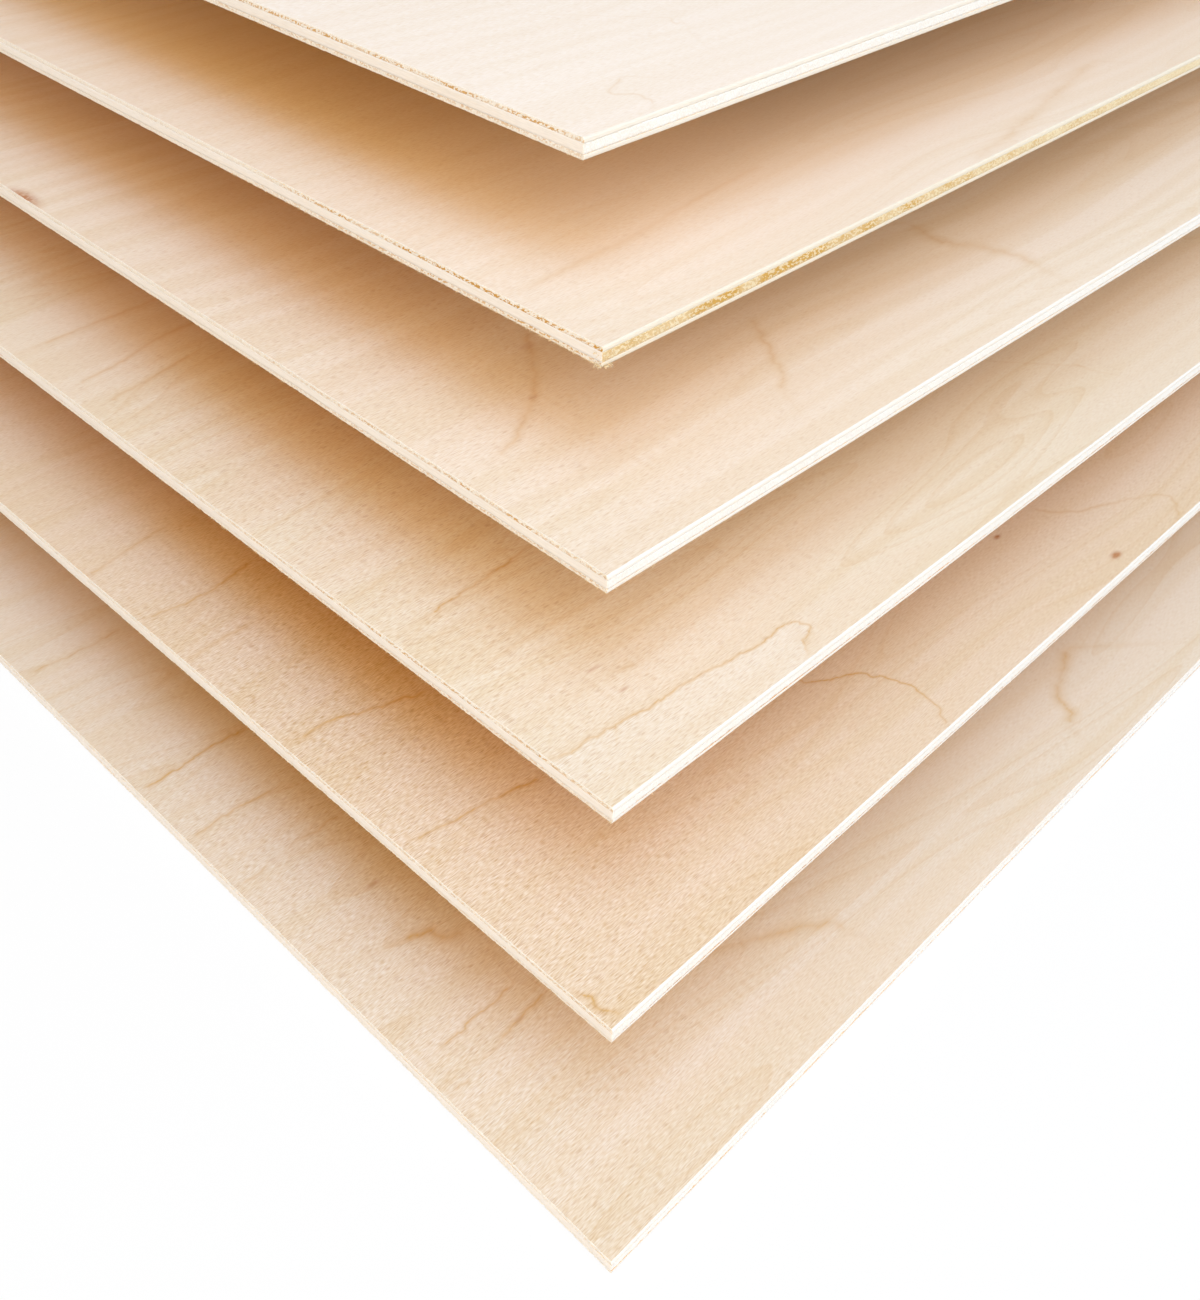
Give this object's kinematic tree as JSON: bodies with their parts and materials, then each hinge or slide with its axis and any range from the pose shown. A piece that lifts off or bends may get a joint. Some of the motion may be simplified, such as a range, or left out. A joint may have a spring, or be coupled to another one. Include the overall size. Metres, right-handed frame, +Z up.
{
  "type": "stack of plywood sheets",
  "caption": "Stair-stepped stack of thin square plywood sheets, laid level on narrow softwood battens with air gaps between them.",
  "frame": {"origin": "middle of the stack's outer box, on the floor", "axes": "+X along the face grain, +Y along the core grain, +Z up through the stack; the near corner, where the sheets step out, is at low X and low Y"},
  "size_m": [0.369, 0.377, 0.108],
  "materials": {
    "face_veneer": "sanded pale maple or birch face, bare, fine pores and growth lines along X",
    "core_veneer": "bare veneer, grain along Y, sawn edges",
    "back_veneer": "sanded pale back, bare, grain along X",
    "batten": "planed softwood, bare, grain along Y"
  },
  "bodies": {
    "root": {"sheet_1_face": "face_veneer", "sheet_1_core": "core_veneer", "sheet_1_back": "back_veneer", "sheet_2_face": "face_veneer", "sheet_2_core": "core_veneer", "sheet_2_back": "back_veneer", "sheet_3_face": "face_veneer", "sheet_3_core": "core_veneer", "sheet_3_back": "back_veneer", "sheet_4_face": "face_veneer", "sheet_4_core": "core_veneer", "sheet_4_back": "back_veneer", "sheet_5_face": "face_veneer", "sheet_5_core": "core_veneer", "sheet_5_back": "back_veneer", "sheet_6_face": "face_veneer", "sheet_6_core": "core_veneer", "sheet_6_back": "back_veneer", "batten_1_left": "batten", "batten_1_right": "batten", "batten_2_left": "batten", "batten_2_right": "batten", "batten_3_left": "batten", "batten_3_right": "batten", "batten_4_left": "batten", "batten_4_right": "batten", "batten_5_left": "batten", "batten_5_right": "batten"}
  },
  "joints": []
}
